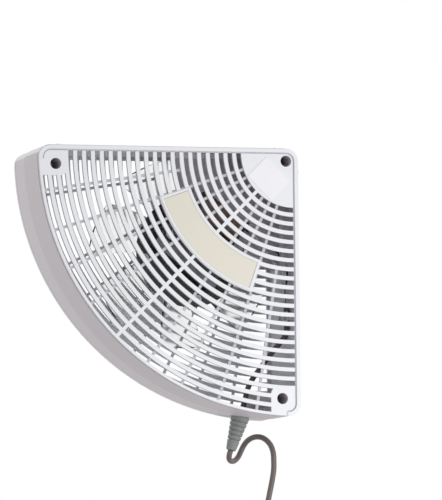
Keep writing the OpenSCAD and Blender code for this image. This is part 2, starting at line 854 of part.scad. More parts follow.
// One twisted, cambered blade: the pitch falls and the chord grows from root to tip
module blade(turn) {
    stations = 6;
    steps = 6;
    root_r = hub_d / 2 - hub_wall / 2;
    mid_y = impeller_front + impeller_depth / 2;
    root = [0.35 * impeller_r, 46];
    tip = [0.66 * impeller_r, 26];
    points = [for (side = [1, -1], i = [0 : stations], j = [0 : steps])
        let (
            f = i / stations,
            r = root_r + f * (impeller_r - root_r),
            chord = root[0] + f * (tip[0] - root[0]),
            pitch = root[1] + f * (tip[1] - root[1]),
            c = j / steps - 0.5,
            bow = 0.08 * chord * (1 - 4 * c * c) + side * blade_t / 2 * (1 - 3 * c * c),
            along = c * chord * cos(pitch) - bow * sin(pitch),
            deep = c * chord * sin(pitch) + bow * cos(pitch),
            a = turn + 12 * f + along / r * 180 / PI)
        [fan_c[0] + r * cos(a), mid_y + deep, fan_c[1] + r * sin(a)]];
    row = steps + 1;
    sheet = row * (stations + 1);
    top_faces = [for (i = [0 : stations - 1], j = [0 : steps - 1])
        let (a = i * row + j) each [[a, a + row + 1, a + 1], [a, a + row, a + row + 1]]];
    low_faces = [for (f = top_faces) [f[0] + sheet, f[2] + sheet, f[1] + sheet]];
    edge = concat([for (j = [0 : steps]) j], [for (i = [1 : stations]) i * row + steps],
        [for (j = [steps - 1 : -1 : 0]) stations * row + j], [for (i = [stations - 1 : -1 : 1]) i * row]);
    rim = [for (k = [0 : len(edge) - 1])
        let (a = edge[k], b = edge[(k + 1) % len(edge)]) each [[a, b, a + sheet], [b, b + sheet, a + sheet]]];
    polyhedron(points, concat(top_faces, low_faces, rim), 4);
}

module impeller() {
    hub_radius = hub_d / 2;
    color("#E4E5E4") difference() {
        union() {
            difference() {
                bar_y(fan_c, hub_radius, impeller_front, impeller_back);
                bar_y(fan_c, hub_radius - hub_wall, impeller_front - 1, impeller_back - hub_wall);
            }
            bar_y(fan_c, 6, impeller_front + 1, impeller_back - 1);
            for (k = [0 : blade_count - 1]) blade(k * 360 / blade_count);
        }
        bar_y(fan_c, shaft_r + push_fit, impeller_front - 1, impeller_back + 1);
    }
}

module impeller_clip() {
    color("#C9CACC") difference() {
        bar_y(fan_c, 5, impeller_back, impeller_back + clip_t);
        bar_y(fan_c, shaft_r, impeller_back - 1, impeller_back + clip_t + 1);
    }
}

// Tapered tail with ribs, a flange outside the wall, a neck through it and a flange inside
module strain_relief() {
    rib_pitch = 4.2;
    groove = 1.2;
    plain = 4;
    n = floor((relief_len - plain - 2) / rib_pitch);
    base_r = relief_d / 2;
    tip_r = relief_tip_d / 2;
    function r_at(s) = base_r + (tip_r - base_r) * s / relief_len;
    ribs_profile = [for (k = [0 : n - 1])
        let (s = plain + k * rib_pitch)
        each [[r_at(s), -s], [r_at(s) - 1, -s - 0.2], [r_at(s + groove) - 1, -s - groove],
            [r_at(s + groove), -s - groove - 0.2]]];
    profile = concat([[cord_r + running, 6], [relief_hole_d / 2 + 2, 6], [relief_hole_d / 2 + 2, 0],
        [base_r, 0]], ribs_profile,
        [[tip_r, -relief_len + 0.8], [tip_r - 0.8, -relief_len], [cord_r + running, -relief_len]]);
    color(relief_color) difference() {
        translate(exit_p) rotate([0, exit_tilt, 0]) rotate_extrude() polygon(profile);
        difference() {
            translate([arc_c[0], rear_y, arc_c[1]]) rotate([90, 0, 0]) difference() {
                cylinder(r = arc_r - shell_step, h = body_depth, $fn = 360);
                translate([0, 0, -1]) cylinder(r = arc_r - wall_t, h = body_depth + 2, $fn = 360);
            }
            translate(exit_p) rotate([0, exit_tilt, 0]) translate([0, 0, -4 * wall_t])
                cylinder(d = relief_hole_d - 2 * running, h = 8 * wall_t);
        }
    }
}

module inner_cord() {
    color(cord_color) tube(inner_route, cord_r, 8);
}

// Strap over the cord on two posts
module cord_clamp() {
    x = half - wall_t - cord_d - running;
    color("#E0E0DC") difference() {
        translate([x - clamp_t, clamp_y - clamp_gap - clamp_w / 2, clamp_z - clamp_w / 2])
            cube([clamp_t, 2 * clamp_gap + clamp_w, clamp_w]);
        for (s = [-1, 1])
            translate([x - 2 * clamp_t, clamp_y + s * clamp_gap, clamp_z]) rotate([0, 90, 0])
                cylinder(r = clamp_screw_r + running, h = 4 * clamp_t);
    }
}

module clamp_screws() {
    x = half - wall_t - cord_d - running - clamp_t;
    color(steel_color) for (s = [-1, 1])
        translate([x, clamp_y + s * clamp_gap, clamp_z]) rotate([0, 90, 0]) {
            cylinder(r = clamp_screw_r, h = clamp_t + cord_d);
            translate([0, 0, -1.5]) cylinder(r = 2 * clamp_screw_r, h = 1.5);
        }
}

// Places of the connectors and the ends of the leads, for the lead on side s
function lead_mid(s) = [half - 12 + 2.6 * s, clamp_y - 1.5, -104 + 3 * s];
function lead_dir(s) = unit([-7, -0.5, 13]);
function lead_end(s, out) = let (p = motor_at(coil_len / 2 + flange_t + out, coil_reach + coil_h / 2 - 3))
    [p[0], stack_front + stack_t / 2 + 4 * s, p[1]];

module lead_wires() {
    for (s = [-1, 1]) color(s < 0 ? "#D9D9D5" : "#2C2C2E") {
        from = wire_start + [0, 1.3 * s, 0];
        a = lead_mid(s) - connector_len / 2 * lead_dir(s);
        b = lead_mid(s) + connector_len / 2 * lead_dir(s);
        tube([from, from + [0, 0, 4], from + [-0.5, 0, 12], a - 5 * lead_dir(s), a], wire_r, 6);
        tube([b, b + 5 * lead_dir(s), lead_end(s, 12) + [1, 0, -4], lead_end(s, 4), lead_end(s, 0.1)],
            wire_r, 6);
    }
}

module wire_connectors() {
    color("#C9B98A") for (s = [-1, 1]) {
        d = lead_dir(s);
        translate(lead_mid(s) - connector_len / 2 * d)
            rotate([0, acos(d[2]), atan2(d[1], d[0])]) cylinder(r = connector_r, h = connector_len, $fn = 24);
    }
}

module cord() {
    color(cord_color) tube(cord_route, cord_r, 8);
}

// Where the coil is after some turns: in to its inner radius, half a turn of climb, and out again
function climb(t) = min(1, max(0, (t - coil_turns_in) * 2));
function coil_radius(t) = t < coil_turns_in ? coil_out_r - coil_pitch * t
    : coil_in_r - coil_dip * sin(180 * climb(t)) + coil_pitch * max(0, t - coil_turns_in - 0.5);
function coil_layer(t) = coil_pitch * climb(t);
function coil_point(t) = coil_c + [coil_radius(t) * cos(-360 * t), coil_layer(t), coil_radius(t) * sin(-360 * t)];
coil_path = concat([coil_start + [0, 0, cord_d]],
    [for (i = [0 : coil_turns * coil_steps]) coil_point(i / coil_steps)],
    [for (s = [1 : 6]) coil_point(coil_turns) + [tail_out * (1 - cos(30 * s)) / 2, 0, -tail_len * s / 6]]);
coil_end = coil_path[len(coil_path) - 1];
least_gap = min([for (i = [0 : len(coil_path) - 1], j = [i + 8 : len(coil_path) - 1])
    if (j < len(coil_path)) norm(coil_path[i] - coil_path[j])]) - cord_d;

module cord_coil() {
    echo(coil_least_gap = least_gap, cord_length = path_length(cord_route) + path_length(coil_path));
    color(cord_color) tube(coil_path, cord_r, 6);
}

// A band round all the turns on the side away from the hanging cord
module cord_tie() {
    outer = coil_out_r - coil_pitch / 2 + cord_r + seat;
    inner = coil_in_r - coil_dip - cord_r - seat - pow(tie_w, 2) / 8 / coil_in_r;
    low = [coil_c[0] - outer, coil_c[1] - cord_r - seat, coil_c[2] - tie_w / 2];
    size = [outer - inner, coil_pitch + cord_d + 2 * seat, tie_w];
    color("#1F1F21") difference() {
        translate(low - [tie_t, tie_t, 0]) cube(size + [2 * tie_t, 2 * tie_t, 0]);
        translate(low - [0, 0, 1]) cube(size + [0, 0, 2]);
    }
}

// Rounded plug body under a short tapered neck
module plug_body() {
    color("#5F5757") translate(coil_end) {
        translate([0, 0, -plug_neck]) cylinder(r1 = 5.5, r2 = cord_r + 0.5, h = plug_neck);
        hull() {
            for (x = [-1, 1], y = [-1, 1]) {
                translate([x * (plug_t / 2 - 5), y * (plug_w / 2 - 5), -plug_neck - plug_len])
                    cylinder(r = 5, h = plug_len - 8, $fn = 24);
                translate([x * 1.5, y * 2, -plug_neck - plug_len]) cylinder(r = 4, h = plug_len, $fn = 24);
            }
        }
    }
}

module plug_blades() {
    p = coil_end - [0, 0, plug_neck + plug_len];
    color("#C8B27A") for (k = [0, 1])
        translate(p + [-blade_ws[k] / 2, (2 * k - 1) * blade_gap / 2 - blade_sheet / 2, -blade_l])
            cube([blade_ws[k], blade_sheet, blade_l]);
}

front_shell();
rear_shell();
front_grille();
rear_grille();
badge_strip();
rating_plate();
front_screws();
rear_screws();
motor_plate();
plate_screws();
rubber_washers();
laminations();
shading_rings();
coil_bobbin();
coil_winding();
front_bracket();
rear_bracket();
front_bearing();
rear_bearing();
motor_screws();
motor_nuts();
rotor_core();
shaft();
thrust_washers();
impeller();
impeller_clip();
strain_relief();
inner_cord();
cord_clamp();
clamp_screws();
lead_wires();
wire_connectors();
cord();
cord_coil();
cord_tie();
plug_body();
plug_blades();
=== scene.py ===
# Looks of a door frame fan: cord, plug, wiring, winding, impeller, finishes and a plain studio.
# Lengths in the code are in millimetres, and add_piece() turns them to metres.
import json

import bpy
import numpy as np
from bpy.props import FloatProperty, FloatVectorProperty, IntProperty, PointerProperty
from mathutils import Matrix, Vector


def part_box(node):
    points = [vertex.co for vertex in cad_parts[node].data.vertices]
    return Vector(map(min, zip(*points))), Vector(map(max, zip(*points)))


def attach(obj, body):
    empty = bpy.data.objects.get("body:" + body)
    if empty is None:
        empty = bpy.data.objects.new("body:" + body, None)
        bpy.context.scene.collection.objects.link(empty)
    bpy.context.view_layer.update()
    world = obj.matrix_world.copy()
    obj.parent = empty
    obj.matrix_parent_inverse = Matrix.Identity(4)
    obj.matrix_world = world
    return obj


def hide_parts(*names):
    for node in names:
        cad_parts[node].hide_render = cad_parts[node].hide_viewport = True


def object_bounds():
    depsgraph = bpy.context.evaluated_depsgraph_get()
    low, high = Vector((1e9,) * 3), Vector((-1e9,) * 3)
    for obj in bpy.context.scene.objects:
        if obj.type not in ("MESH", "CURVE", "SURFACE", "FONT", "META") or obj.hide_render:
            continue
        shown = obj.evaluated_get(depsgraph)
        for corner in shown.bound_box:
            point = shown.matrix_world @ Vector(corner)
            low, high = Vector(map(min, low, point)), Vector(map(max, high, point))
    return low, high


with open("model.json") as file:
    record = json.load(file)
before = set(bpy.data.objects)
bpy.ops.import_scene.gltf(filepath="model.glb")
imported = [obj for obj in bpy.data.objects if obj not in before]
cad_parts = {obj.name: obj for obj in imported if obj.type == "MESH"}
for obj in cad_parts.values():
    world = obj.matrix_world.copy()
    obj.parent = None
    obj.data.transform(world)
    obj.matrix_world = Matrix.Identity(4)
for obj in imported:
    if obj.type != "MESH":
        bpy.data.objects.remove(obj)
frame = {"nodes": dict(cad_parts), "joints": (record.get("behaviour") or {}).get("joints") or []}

CAD_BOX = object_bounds()

bl_info = {
    "name": "Door frame fan",
    "version": (1, 0, 0),
    "blender": (4, 5, 0),
    "location": "3D View > Sidebar > Fan",
    "description": "Dresses a quarter-disc corner fan and sets up its studio",
    "category": "Object",
}


# Places that the frame gives, in millimetres

def box_mm(node):
    """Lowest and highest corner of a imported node."""
    low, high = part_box(node)
    return np.array(low) * 1000, np.array(high) * 1000


def depth_mm(node):
    """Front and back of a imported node."""
    low, high = box_mm(node)
    return low[1], high[1]


SHAFT = np.array(frame["joints"][0]["pos_m"]) * 1000
RIGHT, _, TOP = box_mm("front_shell")[1]
FACE_Y = depth_mm("badge_strip")[1]
REAR_Y = depth_mm("rear_grille")[1]
SEAM_Y = depth_mm("rear_shell")[0]
BODY_SIZE = -box_mm("front_grille")[0][2]
STACK_FRONT, STACK_BACK = depth_mm("laminations")
STACK_MIDDLE = (STACK_FRONT + STACK_BACK) / 2
HUB_FRONT, HUB_BACK = depth_mm("impeller")


def linear(code):
    """Scene colour of an sRGB hex code: c / 12.92 below 0.04045, otherwise ((c + 0.055) / 1.055) ^ 2.4."""
    c = np.array([int(code[i:i + 2], 16) for i in (1, 3, 5)]) / 255
    c = np.where(c < 0.04045, c / 12.92, ((c + 0.055) / 1.055) ** 2.4)
    return (*c.tolist(), 1.0)


def colour(name, description, code):
    """A setting for a colour, from its sRGB hex code."""
    return FloatVectorProperty(name=name, description=description, default=linear(code), size=4,
                               min=0, max=1, subtype="COLOR")


def length(name, description, default, low, high):
    """A setting for a length in millimetres."""
    return FloatProperty(name=name, description=description + ", in millimetres", default=default,
                         min=low, max=high)


class CordSettings(bpy.types.PropertyGroup):
    """The mains cord, its coil, its tie and its plug"""
    diameter: length("Diameter", "Thickness of the cord", 5, 4, 6)
    coil_radius: length("Coil radius", "Outer radius of the coil, to the middle of the cord", 40.5, 35, 50)
    coil_pitch: length("Coil pitch", "Distance from turn to turn", 5.5, 5, 7)
    turns: FloatProperty(name="Turns", description="Turns of one layer of the coil", default=4.25,
                         min=3.25, max=4.25)
    jacket: colour("Jacket", "Colour of the cord and plug", "#6E6362")
    leads: colour("Pale lead", "Colour of the pale lead to the motor", "#D6D6D0")
    dark_leads: colour("Dark lead", "Colour of the dark lead to the motor", "#2B2B2D")
    tie: colour("Tie", "Colour of the band round the coil", "#232325")
    relief: colour("Strain relief", "Colour of the ribbed strain relief", "#8A8E8D")


class MotorSettings(bpy.types.PropertyGroup):
    """The shaded-pole motor"""
    turn: FloatProperty(name="Turn", description="Angle of the coil above the horizontal",
                        default=np.radians(52.0), min=0, max=np.pi / 2, subtype="ANGLE")
    coil_reach: length("Coil reach", "Distance of the coil's middle from the shaft", 36, 35.5, 38)
    coil_length: length("Coil length", "Length of the winding between its flanges", 44, 38, 44)
    coil_height: length("Coil height", "Height of the winding, away from the shaft", 24, 22, 28)
    tape_width: length("Tape width", "Distance from wrap to wrap of the tape", 6, 3, 12)
    tape: colour("Tape", "Colour of the tape round the winding", "#6A4433")
    plate: colour("Plate", "Colour of the enamelled plate behind the motor", "#3A383A")


class ImpellerSettings(bpy.types.PropertyGroup):
    """The axial impeller"""
    blades: IntProperty(name="Blades", description="Number of blades", default=7, min=5, max=7)
    hub_radius: length("Hub radius", "Radius of the hub", 24, 20, 28)
    radius: length("Radius", "Radius over the blade tips", 85, 80, 90)
    thickness: length("Blade thickness", "Thickness in the middle of a blade", 2, 1.5, 3)
    tint: colour("Colour", "Colour of the impeller", "#FBFBF9")


class CasingSettings(bpy.types.PropertyGroup):
    """Grilles, shells and labels"""
    grille: colour("Grilles", "Colour of both grilles", "#F3F4F8")
    # Painted shade: these two tints darken the grilles inside their slots, standing in for the shade in the
    # recesses.
    slots: colour("Front slots", "Tint of the unpolished skin inside the front slots", "#D4D3D6")
    rear_slot_shade: colour("Rear slots", "Tint of the unpolished skin inside the rear slots", "#F4F3F6")
    shell: colour("Front shell", "Colour of the front part of the wall", "#D2CBCF")
    # The rear shell's grey is lighter than the front shell's.
    rear_shell: colour("Rear shell", "Colour of the rear part of the wall, a lighter batch", "#DCD5D9")
    # Painted light: the inside of the walls gets this tint, lighter than the outside, for the shaded inside
    # of the casing.
    inside: colour("Inside of the wall", "Colour of the bare plastic inside the wall", "#F3F4F8")
    badge: colour("Badge", "Colour of the blank strip between the slots", "#E9E4D5")
    plate: colour("Corner plate", "Colour of the blank plate on the corner pad", "#FBFBFF")
    edge: length("Edge radius", "Rounding that the light shows on moulded edges", 0.4, 0.1, 1)


class StageSettings(bpy.types.PropertyGroup):
    """Floor, lamp, surroundings and camera"""
    camera_place: FloatVectorProperty(name="Camera place", description="Where the camera stands",
                                      default=(-1.4427, -5.1548, -0.5215), subtype="TRANSLATION")
    yaw: FloatProperty(name="Yaw", description="Turn of the camera to its left", default=np.radians(-16.248),
                       subtype="ANGLE")
    pitch: FloatProperty(name="Pitch", description="Tilt of the camera upwards", default=np.radians(4.608),
                         subtype="ANGLE")
    roll: FloatProperty(name="Roll", description="Roll of the camera", default=np.radians(0.597),
                        subtype="ANGLE")
    lens: FloatProperty(name="Lens", description="Focal length for a sensor of 36 mm, in millimetres",
                        default=432.0, min=50, max=1000)
    floor_drop: FloatProperty(name="Floor", description="Height of the floor", default=-1.3, unit="LENGTH")
    lamp_power: FloatProperty(name="Lamp", description="Power of the soft lamp, in watts", default=2.3, min=0)
    lamp_place: FloatVectorProperty(name="Lamp place", description="Where the soft lamp stands",
                                    default=(0.5, -0.6, -0.35), subtype="TRANSLATION")
    lamp_size: FloatProperty(name="Lamp size", description="Side of the soft lamp", default=0.6, min=0.1,
                             unit="LENGTH")
    ambient: FloatProperty(name="Ambient", description="Strength of the even light from all sides",
                           default=0.68, min=0, max=2)


# Surfaces worked out as whole arrays

def grid_faces(rows, cols, closed=False):
    """Quads between neighbouring rows, each a closed loop; closed joins the last row to the first."""
    r = np.arange(rows if closed else rows - 1)[:, None]
    c = np.arange(cols)[None, :]
    after, beside = (r + 1) % rows, (c + 1) % cols
    quads = [r * cols + c, after * cols + c, after * cols + beside, r * cols + beside]
    return np.stack(quads, axis=-1).reshape(-1, 4)


def shell(grid, closed=False):
    """A closed shell from rows of loops: quads between the rows, and a cap on the first and last row if it
    isn't closed on itself. The signed volume, the sum of p1 . (p2 x p3) / 6 over the faces' triangles, says
    whether the faces point inwards, and then all of them are turned round."""
    rows, cols = grid.shape[:2]
    points = grid.reshape(-1, 3)
    faces = grid_faces(rows, cols, closed)
    middle = points.mean(axis=0)
    a, b, c, d = (points[faces[:, i]] - middle for i in range(4))
    volume = np.sum(a * np.cross(b, c)) + np.sum(a * np.cross(c, d))
    loops = faces.tolist()
    if not closed:
        last = (rows - 1) * cols
        loops += [list(range(cols)), list(range(last + cols - 1, last - 1, -1))]
        caps = np.array([points[:cols], points[last:][::-1]]) - middle
        starts = caps[:, :1]
        volume += np.sum(starts * np.cross(caps[:, 1:-1], caps[:, 2:]))
    if volume < 0:
        loops = [loop[::-1] for loop in loops]
    return points, loops


def add_piece(name, shells, finish, body, replaced):
    """One mesh object of all the shells, in metres, at the origin, smooth, and riding on its body."""
    starts = np.cumsum([0] + [len(points) for points, faces in shells])
    points = np.concatenate([points for points, faces in shells]) / 1000
    faces = [[i + int(start) for i in face] for start, (_, loops) in zip(starts, shells) for face in loops]
    mesh = bpy.data.meshes.new(name)
    mesh.from_pydata(points, [], faces)
    mesh.polygons.foreach_set("use_smooth", np.ones(len(faces), bool))
    mesh.set_sharp_from_angle(angle=np.radians(40))
    mesh.materials.append(finish)
    piece = bpy.data.objects.new(name, mesh)
    bpy.context.scene.collection.objects.link(piece)
    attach(piece, body)
    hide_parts(*replaced)
    return piece


def smooth_line(points, spacing):
    """Catmull-Rom curve through the points: on the span from p1 to p2 it is
    (2 p1 + (p2 - p0) t + (2 p0 - 5 p1 + 4 p2 - p3) t^2 + (3 p1 - p0 - 3 p2 + p3) t^3) / 2."""
    p = np.concatenate([[2 * points[0] - points[1]], points, [2 * points[-1] - points[-2]]])
    spans = len(points) - 1
    span_length = np.linalg.norm(np.diff(points, axis=0), axis=1).max()
    steps = int(np.ceil(span_length / spacing))
    k, t = np.divmod(np.arange(spans * steps), steps)
    t = (t / steps)[:, None]
    a, b, c, d = p[k], p[k + 1], p[k + 2], p[k + 3]
    square = (2 * a - 5 * b + 4 * c - d) * t ** 2
    cube = (3 * b - a - 3 * c + d) * t ** 3
    curve = (2 * b + (c - a) * t + square + cube) / 2
    return np.concatenate([curve, points[-1:]])


def tube(path, radius, sides):
    """Circles round a path. The first direction of each is square to the tangent and to the Y axis, the
    second square to both: point = path + r (cos a . n + sin a . b)."""
    tangent = np.gradient(path, axis=0)
    tangent /= np.linalg.norm(tangent, axis=1, keepdims=True)
    n = np.cross(tangent, [0.0, 1.0, 0.0])
    n /= np.linalg.norm(n, axis=1, keepdims=True)
    b = np.cross(tangent, n)
    a = np.linspace(0, 2 * np.pi, sides, endpoint=False)[None, :, None]
    return path[:, None] + radius * (np.cos(a) * n[:, None] + np.sin(a) * b[:, None])


def rounded_loop(corners, radii, steps):
    """A closed outline whose corners are rounded: near corner p it runs on the quadratic curve
    (1 - t)^2 p0 + 2 t (1 - t) p + t^2 p2, where p0 and p2 lie one radius from p on its two sides."""
    p = np.asarray(corners, float)
    to_last = np.roll(p, 1, axis=0) - p
    to_next = np.roll(p, -1, axis=0) - p
    r = np.broadcast_to(radii, len(p))[:, None]
    p0 = p + r * to_last / np.linalg.norm(to_last, axis=1, keepdims=True)
    p2 = p + r * to_next / np.linalg.norm(to_next, axis=1, keepdims=True)
    t = np.linspace(0, 1, steps)[None, :, None]
    return ((1 - t) ** 2 * p0[:, None] + 2 * t * (1 - t) * p[:, None] + t ** 2 * p2[:, None]).reshape(-1, 2)


def rectangle(half_u, half_v):
    """Corners of a rectangle about zero."""
    return [(half_u, half_v), (-half_u, half_v), (-half_u, -half_v), (half_u, -half_v)]


def edge_drop(past, radius):
    """How far a rounded edge has dropped at a distance d past its start: r (1 - sqrt(1 - (d / r)^2))."""
    return radius * (1 - np.sqrt(1 - np.clip(past / radius, 0, 1) ** 2))


def lathe(profile, centre, sides):
    """A closed profile of radius and height turned round an axis along Y:
    (x, z) = centre + r (cos a, sin a), y = height."""
    a = np.linspace(0, 2 * np.pi, sides, endpoint=False)[:, None]
    r, y = profile[:, 0][None], profile[:, 1][None]
    return np.stack([centre[0] + r * np.cos(a), y + 0 * a, centre[2] + r * np.sin(a)], axis=-1)


def superellipse(half_x, half_y, power, sides):
    """x = a |cos t|^(2/n), y = b |sin t|^(2/n), each with its sign, for every row's a, b and n."""
    t = np.linspace(0, 2 * np.pi, sides, endpoint=False)[None, :]
    c, s = np.cos(t), np.sin(t)
    e = 2 / power[:, None]
    return half_x[:, None] * np.sign(c) * np.abs(c) ** e, half_y[:, None] * np.sign(s) * np.abs(s) ** e


# Routes, as in the source of the solids

RELIEF_LEN = 31.0
EXIT_TILT = np.radians(17.0)
EXIT_DOWN = np.array([-np.sin(EXIT_TILT), 0.0, -np.cos(EXIT_TILT)])
EXIT_FROM_REAR = 20.5
ARC_INSET = 4.8
EXIT_X = RIGHT - 37
EXIT_Z = -ARC_INSET - np.sqrt((BODY_SIZE - ARC_INSET) ** 2 - (EXIT_X - RIGHT + ARC_INSET) ** 2)
EXIT = np.array([EXIT_X, REAR_Y - EXIT_FROM_REAR, EXIT_Z])
RELIEF_TIP = EXIT + RELIEF_LEN * EXIT_DOWN
CORD_BENDS = np.array([
    (0, 0, 0), (-1.1, 1.2, -4.3), (-0.2, 4.6, -7.6), (2.8, 9.1, -9.4), (7.3, 13.7, -8.9),
    (11.5, 17, -5.8), (14.5, 18.3, -1), (16.9, 17.8, 4.1), (19.6, 15.4, 8.5), (22.6, 11, 11.3),
    (25.7, 4.9, 12.3), (29, -1.6, 11.3), (31.9, -7.4, 8.2), (34.2, -11.6, 3.6), (35.5, -14, -2.3),
    (35.8, -15, -9.3), (35.4, -15.5, -19), (33.7, -15.5, -29), (31.3, -15.5, -40), (29, -15.5, -51),
    (27.4, -15.5, -62.5), (26.6, -15.5, -74.5), (26.6, -15.5, -87.5)])
CORD_ROUTE = RELIEF_TIP + CORD_BENDS
CLAMP_Z = -0.625 * BODY_SIZE
CLAMP_Y = SEAM_Y - 27
CLAMP_X = RIGHT - 5.05
JACKET_END = CLAMP_Z + 12
CONNECTOR = np.array([RIGHT - 12, CLAMP_Y - 1.5, -104.0])
CONNECTOR_SPREAD = np.array([2.6, 0.0, 3.0])
CONNECTOR_ALONG = np.array([-7.0, -0.5, 13.0]) / np.linalg.norm([-7.0, -0.5, 13.0])
CONNECTOR_HALF = 6.0
TAIL_OUT = 4.5
TAIL_LEN = 24.0
COIL_DIP = 0.9
COIL_STEPS = 72
TAIL_STEPS = 18


def coil_places(cord):
    """Centre and last point of the coil's turns."""
    start = CORD_ROUTE[-1] - [0, 0, cord.diameter]
    return start - [cord.coil_radius, 0, 0], start + [0, cord.coil_pitch, 0]


def coil_line(cord):
    """The wound cord after t turns. At the angle -360 t its radius falls by one pitch a turn, dips in the
    half turn in which it climbs to the second layer, and grows again. Then the cord hangs down, and moves
    aside by (1 - cos(pi s)) / 2 of the tail's offset."""
    centre, end = coil_places(cord)
    wound = 2 * cord.turns + 0.5
    t = np.linspace(0, wound, int(COIL_STEPS * wound) + 1)
    climb = np.clip((t - cord.turns) * 2, 0, 1)
    dip = COIL_DIP * np.sin(np.pi * climb)
    radius = cord.coil_radius - cord.coil_pitch * np.minimum(t, cord.turns) - dip
    radius += cord.coil_pitch * np.maximum(0, t - cord.turns - 0.5)
    a = -2 * np.pi * t
    turns = centre + np.stack([radius * np.cos(a), cord.coil_pitch * climb, radius * np.sin(a)], axis=1)
    s = np.linspace(0, 1, TAIL_STEPS + 1)[1:]
    tail = np.stack([TAIL_OUT * (1 - np.cos(np.pi * s)) / 2, 0 * s, -TAIL_LEN * s], axis=1)
    return np.concatenate([turns, end + tail])


def plug_top(cord):
    """Where the cord enters the plug."""
    return coil_places(cord)[1] + [TAIL_OUT, 0, -TAIL_LEN]


# Finishes

# Sockets of a colour Mix node: its factor, both colours and the result
FACTOR, FIRST, SECOND, RESULT = 0, 6, 7, 2


def add_node(tree, kind, settings=None, links=None):
    """Adds a node, sets its sockets and properties, and links its inputs to (node, output) pairs."""
    node = tree.nodes.new(kind)
    for key, value in (settings or {}).items():
        if isinstance(key, int) or key in node.inputs:
            node.inputs[key].default_value = value
        else:
            setattr(node, key, value)
    for key, (source, output) in (links or {}).items():
        tree.links.new(source.outputs[output], node.inputs[key])
    return node


def maths(tree, operation, *terms):
    """The result of a Math node, whose terms are numbers or (node, output) pairs."""
    linked = {i: term for i, term in enumerate(terms) if isinstance(term, tuple)}
    numbers = {i: term for i, term in enumerate(terms) if i not in linked}
    return add_node(tree, "ShaderNodeMath", {"operation": operation, **numbers}, linked), "Value"


def shaded(tint, factor):
    """The same colour, darker or lighter."""
    return (*[min(1.0, c * factor) for c in tint[:3]], 1.0)


def new_finish(name, settings, links, relief=None):
    """A material with one Principled shader. links gives what its sockets are linked to, and relief the
    bump. Both take the node tree and its texture coordinates."""
    material = bpy.data.materials.new(name)
    material.use_nodes = True
    tree = material.node_tree
    tree.nodes.clear()
    places = add_node(tree, "ShaderNodeTexCoord")
    made = links(tree, places)
    if relief:
        made["Normal"] = (relief(tree, places), "Normal")
    shader = add_node(tree, "ShaderNodeBsdfPrincipled", settings, made)
    add_node(tree, "ShaderNodeOutputMaterial", links={"Surface": (shader, "BSDF")})
    return material


def mottle(tint, depth, cloud_mm, rough, rough_spread):
    """Slow clouds in colour and gloss, as resin flow and handling leave them."""
    def links(tree, places):
        cloud = add_node(tree, "ShaderNodeTexNoise", {"Scale": 1000 / cloud_mm, "Detail": 3.0},
                         {"Vector": (places, "Object")})
        tone = add_node(tree, "ShaderNodeMix",
                        {"data_type": "RGBA", FIRST: shaded(tint, 1 - depth), SECOND: tint},
                        {FACTOR: (cloud, "Fac")})
        gloss = add_node(tree, "ShaderNodeMapRange",
                         {"To Min": rough - rough_spread, "To Max": rough + rough_spread},
                         {"Value": (cloud, "Fac")})
        return {"Base Color": (tone, RESULT), "Roughness": (gloss, "Result")}
    return links


def grain(size_mm, deep_mm, edge_mm=0.0, stretch=(1, 1, 1)):
    """Bump of a spark-eroded, drawn or brushed skin; edge_mm rounds the light on sharp edges first."""
    def relief(tree, places):
        spread = add_node(tree, "ShaderNodeMapping", {"Scale": stretch}, {"Vector": (places, "Object")})
        noise = add_node(tree, "ShaderNodeTexNoise", {"Scale": 1000 / size_mm, "Detail": 2.0},
                         {"Vector": (spread, "Vector")})
        links = {"Height": (noise, "Fac")}
        if edge_mm:
            edge = add_node(tree, "ShaderNodeBevel", {"samples": 4, "Radius": edge_mm / 1000})
            links["Normal"] = (edge, "Normal")
        return add_node(tree, "ShaderNodeBump", {"Distance": deep_mm / 1000}, links)
    return relief


def layers(period_mm, deep_mm, direction):
    """Bump of parallel lines: sheet edges or turns of wire. A wave's period is 0.314 / scale."""
    def relief(tree, places):
        wave = add_node(tree, "ShaderNodeTexWave",
                        {"bands_direction": direction, "Scale": 314 / period_mm, "Distortion": 0.3},
                        {"Vector": (places, "Object")})
        return add_node(tree, "ShaderNodeBump", {"Distance": deep_mm / 1000}, {"Height": (wave, "Fac")})
    return relief


def painted_slot_shade(skin, recess):
    """The skin on both outer faces of the casing, and a tint multiplied over it inside the slots: painted
    shade in the recesses. One turns into the other between two depths under the faces."""
    shallow, deep = 0.3 / 1000, 0.9 / 1000
    middle, half = (FACE_Y + REAR_Y) / 2 / 1000, (REAR_Y - FACE_Y) / 2 / 1000

    def links(tree, places):
        made = skin(tree, places)
        place = add_node(tree, "ShaderNodeSeparateXYZ", links={"Vector": (places, "Object")})
        away = maths(tree, "ABSOLUTE", maths(tree, "SUBTRACT", (place, "Y"), middle))
        face = add_node(tree, "ShaderNodeMapRange", {"From Min": half - deep, "From Max": half - shallow},
                        {"Value": away})
        # Painted shade: the skin's colour times the recess tint, inside the slots.
        grey = add_node(tree, "ShaderNodeMix",
                        {"data_type": "RGBA", "blend_type": "MULTIPLY", FACTOR: 1.0, SECOND: recess},
                        {FIRST: made["Base Color"]})
        tone = add_node(tree, "ShaderNodeMix", {"data_type": "RGBA"},
                        {FACTOR: (face, "Result"), FIRST: (grey, RESULT), SECOND: made["Base Color"]})
        return {"Base Color": (tone, RESULT), "Roughness": made["Roughness"]}
    return links


def white_abs(name, slots, casing):
    """ABS moulded in a polished tool: bright, faintly cool, with a soft gloss and rounded edges, and darker
    inside the slots as painted shade in the recesses. The ripple is resin flow, 6 mm wide."""
    skin = mottle(casing.grille, 0.03, 40, 0.36, 0.05)
    return new_finish(name, {"IOR": 1.53}, painted_slot_shade(skin, slots), grain(6, 0.015, casing.edge))


